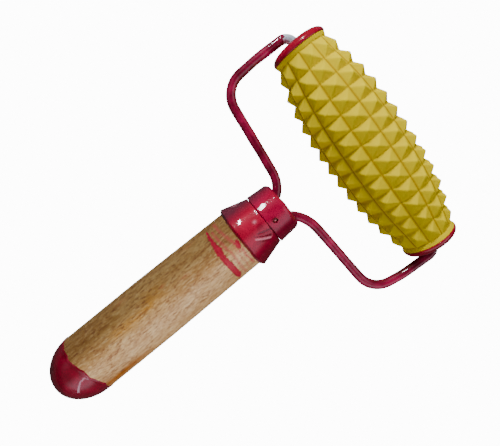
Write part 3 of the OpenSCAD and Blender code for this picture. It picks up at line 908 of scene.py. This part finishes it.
def punch_nail_hole(ob):
    ends = np.arange(2 * NAIL_SIDES).reshape(2, NAIL_SIDES)
    ends[0] = ends[0, ::-1]
    cutter = mesh_object("cutter", nail_rings([10.0, 17.5], [NAIL_HOLE_R] * 2),
                         [ends, grid_faces(2, NAIL_SIDES)], "collar_red", smooth=False)
    cut = ob.modifiers.new("hole", "BOOLEAN")
    cut.object = cutter
    cut.operation = "DIFFERENCE"
    cut.solver = "EXACT"
    graph = bpy.context.evaluated_depsgraph_get()
    graph.update()
    mesh = bpy.data.meshes.new_from_object(ob.evaluated_get(graph))
    ob.modifiers.clear()
    solid = ob.data
    ob.data = mesh
    bpy.data.meshes.remove(solid)
    bpy.data.objects.remove(cutter)
    # the cut may bring the cutter's material slot with it
    if len(mesh.materials) > 1:
        mesh.materials.clear()
        mesh.materials.append(MATERIALS["collar_red"])


def collar():
    """A cup closed at the roller end, with a punched hole for the nail."""
    outer = fillet(
        [(COLLAR_START, COLLAR_BORE_R), (COLLAR_START, COLLAR_R - 0.35),
         (COLLAR_SHOULDER, COLLAR_R), (COLLAR_BEND, COLLAR_R - COLLAR_TAPER),
         (COLLAR_END, COLLAR_R - 2.5), (COLLAR_END, COLLAR_HOLE_R)],
        [0, 0.2, 0.4, 1.9, 1.9, 0], step=0.35, arc_points=12)
    inside = COLLAR_END - 1.5
    inner = fillet([(COLLAR_END, COLLAR_HOLE_R), (inside, COLLAR_HOLE_R),
                    (inside, COLLAR_BORE_R), (COLLAR_START + 0.2, COLLAR_BORE_R)], 0.0)
    profile = np.concatenate([outer, inner[1:]])
    row = np.arange(len(profile))[:, None]
    outside = (row >= 1) & (row < len(outer))

    def shape(x, radius, angle):
        degrees = degrees_from_top(angle)
        dents = 0.045 * DENTS(x + 40, radius * np.sin(angle), radius * np.cos(angle))
        relief = calm_at_glint(x, degrees, dents, calm_x=99, calm_width=6,
                               glint_x=COLLAR_GLINT_X, fall=0.08, fall_width=math.sqrt(40))
        relief = relief + sum(spots(x, degrees, COLLAR_KNOCKS))
        # the roller end is hammered over a little unevenly
        wavy = (0.16 * np.sin(2 * angle + 2.4) + 0.10 * np.sin(5 * angle + 1)
                + 0.05 * np.sin(11 * angle))
        turned_in = ease(x, COLLAR_END - 2.2, COLLAR_END - 0.4)
        return x + outside * turned_in * wavy, radius + outside * ease(radius, 9, 13) * relief

    points, _, _ = revolve(profile, METAL_SIDES, shape)
    ob = piece("collar_cup", points.reshape(-1, 3),
               [grid_faces(len(profile), METAL_SIDES, closed=True)], "collar_red")
    punch_nail_hole(ob)
    ob.data.set_sharp_from_angle(angle=math.radians(42))
    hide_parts("collar")


def nail():
    """A slightly domed head on a plain shank; profiles are (height, radius)."""
    shank = [(5.6, 0.08), (6.6, 0.58), (NAIL_HEAD_BASE, NAIL_SHANK_R)]
    head = fillet([(NAIL_HEAD_BASE, NAIL_SHANK_R), (NAIL_HEAD_BASE, 1.12), (12.9, 1.16),
                   (13.28, 0.86), (NAIL_TOP, 0.0)], [0, 0.05, 0.3, 0.35, 0], step=0.08)
    profile = np.concatenate([shank, head[1:-1]])
    poles = nail_rings([NAIL_FOOT, NAIL_TOP], [0, 0])[::NAIL_SIDES]
    # the side faces are wound the other way round from the end fans
    side_faces = grid_faces(len(profile), NAIL_SIDES)[:, ::-1]
    piece("nail_head", np.concatenate([nail_rings(profile[:, 0], profile[:, 1]), poles]),
          [side_faces, *end_fans(len(profile), NAIL_SIDES)],
          "nail_steel", "collar_nail", sharp=50)


# ------------------------------------------------------------------ bent rods
ROD_BACK = COLLAR_END - 48          # hidden ends of the rods inside the grip
ROD_Y = ROD_R + 0.05                # the rods lie side by side
ROD_INNER_END = 43.5                # rods end here inside the barrel, in the head's y
BEND_RADII = (13.3, 40, 5.5)        # bends 2 to 4; the first differs between the rods


def unit(vector):
    return vector / np.linalg.norm(vector)


def bent_line(corners, radii):
    """A centreline with an arc at each inner corner, sampled evenly."""
    corners = [np.array(p, float) for p in corners]
    points = [corners[0]]
    for before, corner, after, radius in zip(corners, corners[1:], corners[2:], radii):
        way_in, way_out = unit(corner - before), unit(after - corner)
        turn = math.atan2(way_in[0] * way_out[1] - way_in[1] * way_out[0], way_in @ way_out)
        start = corner - radius * math.tan(abs(turn) / 2) * way_in
        centre = start + radius * np.array([-way_in[1], way_in[0]]) * np.sign(turn)
        x, y = start - centre
        for u in np.linspace(0, 1, max(8, int(abs(turn) * radius / ROD_STEP))):
            c, s = math.cos(turn * u), math.sin(turn * u)
            points.append(centre + np.array([x * c - y * s, x * s + y * c]))
    points = np.array(points + [corners[-1]])
    length = np.r_[0, np.cumsum(np.hypot(*np.diff(points, axis=0).T))]
    keep = np.r_[True, np.diff(length) > 1e-6]
    points, length = points[keep], length[keep]
    stations = np.arange(0, length[-1], ROD_STEP)
    return np.stack([np.interp(stations, length, points[:, i]) for i in (0, 1)], 1)


def soften(line, sigma, first, last):
    """Smooths a centreline between two stations, as hand bending does."""
    reach = 40
    kernel = np.exp(-0.5 * (np.arange(-reach, reach + 1) * ROD_STEP / sigma) ** 2)
    kernel /= kernel.sum()
    padded = np.pad(line, ((reach, reach), (0, 0)), mode="edge")
    smooth = np.stack([np.convolve(padded[:, i], kernel, "valid") for i in (0, 1)], 1)
    weight = plateau(np.arange(len(line)), (first, first + 25), (last - 12, last))
    return line + (smooth - line) * weight[:, None]


def tube(line, radius, pull=0.0):
    """Rings round a centreline; pull shifts points forward along it."""
    tangent = np.gradient(line, axis=0)
    tangent /= np.linalg.norm(tangent, axis=1)[:, None]
    centre = line[:, None] + tangent[:, None] * np.expand_dims(pull, -1)
    sideways = radius * np.cos(ROD_ANGLES)
    rings = np.broadcast_arrays(centre[..., 0] - tangent[:, 1:] * sideways,
                                centre[..., 1] + tangent[:, :1] * sideways,
                                radius * np.sin(ROD_ANGLES))
    return np.stack(rings, -1)


def bare_rod(name, line):
    """The steel, with a small chamfer at both ends."""
    chamfer, end_share = 0.35, 0.75
    line = np.concatenate([[line[0] + chamfer * unit(line[0] - line[1])], line,
                           [line[-1] + chamfer * unit(line[-1] - line[-2])]])
    radius = np.full((len(line), 1), ROD_R)
    radius[[0, -1]] *= end_share
    points = np.concatenate([tube(line, radius).reshape(-1, 3),
                             [[*line[0], 0], [*line[-1], 0]]])
    faces = [grid_faces(len(line), ROD_SIDES), *end_fans(len(line), ROD_SIDES)]
    piece(name + "_rod", points, face_outward(points, faces), "rod_steel", "arm_" + name,
          sharp=40)


def rod_sleeve(name, number, line):
    """The enamel: thick and thin by hand, ragged where it runs out."""
    lumps = waves(12, 0.12, 0.7, seed=31 + number)
    along = np.arange(len(line))[:, None] * ROD_STEP
    to_end = (len(line) - 1 - np.arange(len(line)))[:, None] * ROD_STEP
    ragged = (0.55 * np.sin(2 * ROD_ANGLES + number) + 0.35 * np.sin(5 * ROD_ANGLES + 1)
              + 0.2 * np.sin(9 * ROD_ANGLES + 2))
    uneven = lumps(along, 2.5 * np.cos(ROD_ANGLES), 2.5 * np.sin(ROD_ANGLES))
    thickness = 0.135 + 0.055 * uneven + 0.10 * bell(to_end, 1.6, 1.1)
    thickness = np.clip(thickness, 0.05, 0.5) * ease(to_end, -0.1, 1.0) + 0.012
    pull = np.exp(-to_end / 1.6) * (ragged - 0.3)
    rings = np.concatenate([tube(line, ROD_R + thickness, pull),
                            tube(line, ROD_R - 0.06, pull)[::-1]])
    points = rings.reshape(-1, 3)
    faces = [grid_faces(len(rings), ROD_SIDES, closed=True)]
    piece(name + "_enamel", points, face_outward(points, faces), "rod_enamel_red",
          "enamel_" + name, sharp=60)


def rod(name, number, side, first_bend_x, first_radius, head_corners):
    """A rod from the grip out round the barrel's end and back in along its axis."""
    corners = [[ROD_BACK, side * ROD_Y], [first_bend_x, side * ROD_Y],
               *(from_head(p) for p in head_corners), from_head([0, side * ROD_INNER_END])]
    line = bent_line(corners, (first_radius, *BEND_RADII))
    head_x, head_y = to_head(line).T
    station = np.arange(len(line))
    leaves_collar = int(np.argmax(line[:, 0] > COLLAR_END - 0.6))
    film_end = int(np.argmax((np.abs(head_y) > 60) & (head_x > -3.4)))
    on_axis = int(np.argmax((np.abs(head_x) < 0.02) & (station > film_end)))
    if name == "right":
        # on this side the enamel runs on round the last bend
        film_end = int(np.argmax((np.abs(head_y) < 63.6) & (station > on_axis)))
    line = soften(line, sigma=1.6, first=leaves_collar + 2, last=on_axis - 24)
    bare_rod(name, line)
    rod_sleeve(name, number, line[leaves_collar:film_end + 1])


# ------------------------------------------------------------------ spiked barrel


def groove_radius(y):
    return MIDDLE_R - (MIDDLE_R - END_R) * np.power(np.abs(y) / HALF, BULGE_POWER)


def ring_edge(k):
    """y and radius of the groove before ring k; the outermost run into the plain bands."""
    y = HALF - k * PITCH
    if k == 0:
        return y + END_RUN, END_BAND_R
    if k == RINGS:
        return y - END_RUN, END_BAND_R
    return y, groove_radius(y)


def spike_height(u, v):
    """Share of the spike's height: a pyramid with softened edges, tip and foot."""
    sharpness, tip_round, foot = 16.0, 0.05, 0.05
    slope = (u ** sharpness + v ** sharpness) ** (1 / sharpness)
    height = 1.0 - np.sqrt(slope ** 2 + tip_round ** 2)
    blended = (height + foot) ** 2 / (4 * foot)
    return np.where(height < -foot, 0, np.where(height < foot, blended, height))


def barrel():
    turn = TURN / ROWS
    jitter = np.random.default_rng(11).normal(size=(RINGS, ROWS, 3)) * 0.05
    steps = np.arange(SPIKE_GRID) / SPIKE_GRID
    v = steps[:, None]
    from_middle_v = np.abs(2 * steps - 1)
    start = PHASE + np.arange(ROWS) * turn
    rows, relief = [], []
    for k in range(RINGS):
        (y0, r0), (y1, r1) = ring_edge(k), ring_edge(k + 1)
        middle = HALF - (k + 0.5) * PITCH
        corners = [around_roller(r, y, start + shift)[:, None]
                   for r, y, shift in ((r0, y0, 0), (r0, y0, turn), (r1, y1, turn), (r1, y1, 0))]
        tip = around_roller(groove_radius(middle) + SPIKE, middle, start + turn / 2) + jitter[k]
        lift = tip[:, None] - sum(corners) / 4
        a, b, c, d = corners
        for u in np.r_[steps, 1.0] if k == RINGS - 1 else steps:
            from_middle_u = abs(2 * u - 1)
            flat = (a * (1 - u) + d * u) * (1 - v) + (b * (1 - u) + c * u) * v
            height = spike_height(from_middle_u, from_middle_v)[:, None]
            rows.append((flat + lift * height).reshape(-1, 3))
            # painted shade is deeper in the long grooves than in those round the barrel
            depth = np.minimum(1 - from_middle_v, (1 - from_middle_u) + 0.14)
            relief.append(np.tile(depth, ROWS))
    # plain bands and the bore close the moulding
    columns = ROWS * SPIKE_GRID
    angle = PHASE + np.arange(columns) / SPIKE_GRID * turn
    band = fillet([(BARREL_BORE_R, JOINT), (14.6, JOINT), (14.2, HALF + END_RUN + 0.9),
                   (END_BAND_R, HALF + END_RUN)], [0, 0.2, 0.5, 0], step=0.4)

    def rings(radius, y):
        return around_roller(np.reshape(radius, (-1, 1)), y[:, None], angle)

    left = rings(band[:-1, 0], band[:-1, 1])
    right = rings(band[-2::-1, 0], -band[-2::-1, 1])
    bore = rings(BARREL_BORE_R, np.linspace(-JOINT, JOINT, 9)[1:-1])
    body = np.concatenate([left, rows, right, bore])
    plain = 0.6
    relief = np.concatenate([np.full((len(left), columns), plain), relief,
                             np.full((len(right) + len(bore), columns), plain)])
    points = from_head(body.reshape(-1, 3))
    faces = face_outward(points, [grid_faces(len(body), columns, closed=True)])
    piece("barrel_moulding", points, faces, "barrel_yellow", "spiked_barrel", body="roller",
          attributes={"relief": relief}, sharp=75)


def cap_profile():
    """(radius, y) outline of an end cap, from its bore round the plug and over the dome."""
    bore, hub, rim = 4.10, 6.2, 14.9
    # radius, y from the joint
    plug = [(bore, -9.3), (6.3, -9.3), (6.3, -1.2), (8.78, -1.2), (8.78, -7), (10.18, -7),
            (10.58, -6.5), (10.58, 0.02), (14.45, 0.02), (14.8, 0.2)]
    dome = [(hub + (rim - hub) * max(math.cos(a), 0) ** 0.75, 0.6 + 4.0 * math.sin(a) ** 0.9)
            for a in np.linspace(0, math.pi / 2, 40)]
    recess = [(5.7, 4.58), (5.25, 4.2), (5.2, 0.8), (bore, 0.8)]
    return fillet(np.array(plug + dome + recess) + [0, JOINT], 0.12, arc_points=3)


def cap(name, side, replaces):
    sides = 192
    angle = np.linspace(0, TURN, sides, endpoint=False)
    profile = cap_profile()
    radius, y = profile[:, :1], profile[:, 1:]
    # the dome is very slightly warped
    y = y + ((radius > 8.8) & (y > JOINT + 0.3)) * 0.05 * np.sin(2 * angle + 1 + side)
    points = from_head(around_roller(radius, side * y, angle).reshape(-1, 3))
    faces = face_outward(points, [grid_faces(len(profile), sides, closed=True)])
    piece(name, points, faces, "cap_red", replaces, body="roller", sharp=40)


wood_grip()
dipped_butt()
ferrule()
collar()
nail()
rod("left", number=1, side=1, first_bend_x=COLLAR_END + 4.3, first_radius=16.5,
    head_corners=[[-42.55, 67.0], [-21, 68.75], [0, 68.9]])
rod("right", number=2, side=-1, first_bend_x=COLLAR_END + 5.2, first_radius=20,
    head_corners=[[-41.4, -65.7], [-22.5, -68.2], [0, -68.4]])
barrel()
cap("cap_left", side=1, replaces="end_cap_left")
cap("cap_right", side=-1, replaces="end_cap_right")

# CAD parts kept as they are
for node, material in (("tang_pins", "pin_steel"), ("thrust_washers", "washer_steel"),
                       ("push_nuts", "push_nut_steel"), ("hub_bush_left", "bush_nylon"),
                       ("hub_bush_right", "bush_nylon")):
    part = frame["nodes"][node]
    part.data.materials.clear()
    part.data.materials.append(MATERIALS[material])

# ------------------------------------------------------------------ floor
WHITE = 13.0                        # brightness of floor and backdrop seen directly
FLOOR_GLOSS = 0.05                  # brightness of the floor seen in the gloss


def floor_material():
    """Bright white seen directly, dark in the gloss, clear from underneath."""
    s = new_material("pale_floor")
    clouds = s.noise(scale=0.004, rough=0.5)
    paper = s.noise(scale=0.6, detail=4)
    colour = s.mix(clouds, (0.66, 0.66, 0.66), (0.70, 0.70, 0.695))
    s.surface({
        "Base Color": s.layer(colour, (0.6, 0.6, 0.59), mask=paper, amount=0.04),
        "Roughness": 0.85,
        "Specular IOR Level": 0.1,
        "Normal": s.bump(paper, depth=0.05, strength=0.2),
    })
    ray = s.node("LightPath").outputs
    white = s.glow("Emission", s.mix(clouds, (1, 1, 1), (0.985, 0.985, 0.985)), WHITE)
    dim = s.glow("Emission", (1, 1, 1), FLOOR_GLOSS)
    shader = s.mix_shader(ray["Is Glossy Ray"], s.bsdf.outputs[0], dim)
    shader = s.mix_shader(ray["Is Camera Ray"], shader, white)
    underneath = s.node("NewGeometry").outputs["Backfacing"]
    s.finish(s.mix_shader(underneath, shader, s.node("BsdfTransparent").outputs[0]))


def floor():
    """A plane on which the butt and the barrel's spikes rest."""
    floor_material()
    butt_x, butt_z = TIP_X + 20, -GRIP_R - 0.25
    spikes_z = -(MIDDLE_R + SPIKE) - 0.05
    slope = (spikes_z - butt_z) / (HEAD_X - butt_x)
    reach = 4000
    points = np.array([[x, y, butt_z + slope * (x - butt_x)] for x, y in
                       ((-reach, -reach), (reach, -reach), (reach, reach), (-reach, reach))])
    mesh = bpy.data.meshes.new("floor")
    mesh.from_pydata([tuple(p * MM) for p in points], [], [(0, 1, 2, 3)])
    mesh.update()
    ob = bpy.data.objects.new("floor", mesh)
    bpy.context.scene.collection.objects.link(ob)
    mesh.materials.append(MATERIALS["pale_floor"])


# ------------------------------------------------------------------ lamps
CAMERA = from_head([-66.876, 29.007, 203.482])


def seen_in_gloss(x, cone, distance=434):
    """Where a lamp must hang for the camera to see it at x, GLINT_ANGLE on a cone."""
    cone_x, cone_radius, slope = cone
    angle = math.radians(GLINT_ANGLE)
    radius = cone_radius + slope * (x - cone_x)
    place = np.array([x, radius * math.sin(angle), radius * math.cos(angle)])
    normal = unit(np.array([-slope, math.sin(angle), math.cos(angle)]))
    sight = unit(place - CAMERA)
    return place + distance * (sight - 2 * (sight @ normal) * normal)


def area(name, place, target, size, energy, size_y=None, color=(1, 1, 1), gloss=True,
         diffuse=True, only=None, level=False):
    """An area lamp; only names the pieces it lights, level makes it an ellipse
    whose long side is square to the handle's axis."""
    light = bpy.data.lights.new(name, "AREA")
    light.energy = energy
    light.color = color
    light.shape = "ELLIPSE" if level else "RECTANGLE"
    light.size = size * MM
    light.size_y = (size_y or size) * MM
    ob = bpy.data.objects.new(name, light)
    bpy.context.scene.collection.objects.link(ob)
    ob.visible_glossy = gloss
    ob.visible_diffuse = diffuse
    if only:
        receivers = bpy.data.collections.new(name + "_lights")
        for key in only:
            receivers.objects.link(bpy.data.objects[key])
        ob.light_linking.receiver_collection = receivers
    ob.location = Vector(place) * MM
    ob.rotation_mode = "QUATERNION"
    back = Vector(place) - Vector(target)
    if level:
        back.normalize()
        across = Vector((0, back[2], -back[1])).normalized().cross(back)
        long_side = back.cross(across)
        turn = Matrix([[across[i], long_side[i], back[i]] for i in range(3)])
        ob.rotation_quaternion = turn.to_quaternion()
    else:
        ob.rotation_quaternion = (-back).to_track_quat("-Z", "Y")


floor()
area("window", seen_in_gloss(FERRULE_GLINT_X, FERRULE_CONE), target=(85, 8, 14),
     size=16, size_y=130, energy=0.75, level=True)
area("window_2", seen_in_gloss(COLLAR_GLINT_X, COLLAR_CONE), target=(99, 7, 12),
     size=20, size_y=165, energy=0.85, diffuse=False, only=["collar_cup"], level=True)
area("window_3", seen_in_gloss(85.0, FERRULE_CONE), target=(85, 8, 14),
     size=27, size_y=150, energy=0.85, diffuse=False, only=["ferrule_shell"], level=True)
area("barrel_soft", (120, -300, 330), target=(160, 0, 0), size=150, energy=0.10,
     gloss=False, only=["barrel_moulding"])
area("strip", (-208, -130, 220), target=(-28, -4, 16), size=21, size_y=380, energy=0.13,
     color=(0.95, 0.80, 1.0), diffuse=False, only=["dipped_butt"])
area("top_soft", (470, 560, 400), target=(120, 0, 0), size=240, energy=4.2, gloss=False)
area("big_soft", (-160, -520, 520), target=(60, 0, 0), size=420, energy=1.3, gloss=False)
area("near_soft", (0, -200, 190), target=(15, -4, 0), size=150, energy=0.62, gloss=False,
     only=["wood_grip", "dipped_butt", "left_enamel", "right_enamel", "left_rod"])

# ------------------------------------------------------------------ world


def world():
    """Soft grey light; white to the camera; in the gloss a dark room with one pale wall."""
    sky = bpy.data.worlds.new("world")
    bpy.context.scene.world = sky
    sky.use_nodes = True
    s = Shader(sky.node_tree, "OutputWorld")
    _, y, z = s.axes(s.node("TexCoord").outputs["Generated"])
    soft = s.glow("Background", s.ramp(z, (0.0, 0.25), (0.3, 0.5), (0.7, 0.8), (1.0, 0.7)),
                  strength=0.20)
    # the wall is faintly violet, low and on the right-hand side
    wall_z = s.ramp(z, (0.0, 0.0), (0.30, 0.10), (0.52, 1.0), (0.80, 0.9), (0.95, 0.12),
                    (1.0, 0.08))
    wall_y = s.ramp(s.scaled(y, by=0.5, plus=0.5), (0.0, 1.0), (0.36, 0.9), (0.52, 0.10),
                    (0.70, 0.08), (0.80, 0.22), (1.0, 0.10))
    room = s.glow("Background", s.tint(s.tint(wall_z, wall_y), (0.92, 0.82, 1.0)),
                  strength=1.5)
    ray = s.node("LightPath").outputs
    shader = s.mix_shader(ray["Is Glossy Ray"], soft, room)
    white = s.glow("Background", (1, 1, 1), strength=WHITE)
    s.finish(s.mix_shader(ray["Is Camera Ray"], shader, white))


world()

# ------------------------------------------------------------------ camera
# rows: the view's right, down and forward directions in the head's frame
VIEW = np.array([[0.8003854, -0.5972327, 0.0519266],
                 [-0.5989219, -0.7928711, 0.1124636],
                 [-0.0259958, -0.1211142, -0.9922981]])


def camera():
    data = bpy.data.cameras.new("camera")
    ob = bpy.data.objects.new("camera", data)
    bpy.context.scene.collection.objects.link(ob)
    # the nearest true rotation to the rounded rows
    left, _, right = np.linalg.svd(VIEW)
    handle_to_head = np.array([[SKEW_COS, -SKEW_SIN, 0], [SKEW_SIN, SKEW_COS, 0], [0, 0, 1]])
    # a camera looks down its own -Z with +Y up
    turn = (left @ right @ handle_to_head).T @ np.diag([1.0, -1.0, -1.0])
    rows = [[*turn[i], CAMERA[i] * MM] for i in range(3)]
    ob.matrix_world = Matrix([*rows, [0, 0, 0, 1]])
    data.sensor_fit = "HORIZONTAL"
    data.sensor_width = 36
    data.lens = 28.102176
    data.shift_x = -0.000572
    data.shift_y = 0.000694
    data.clip_start = 0.01
    data.clip_end = 20
    bpy.context.scene.camera = ob


camera()
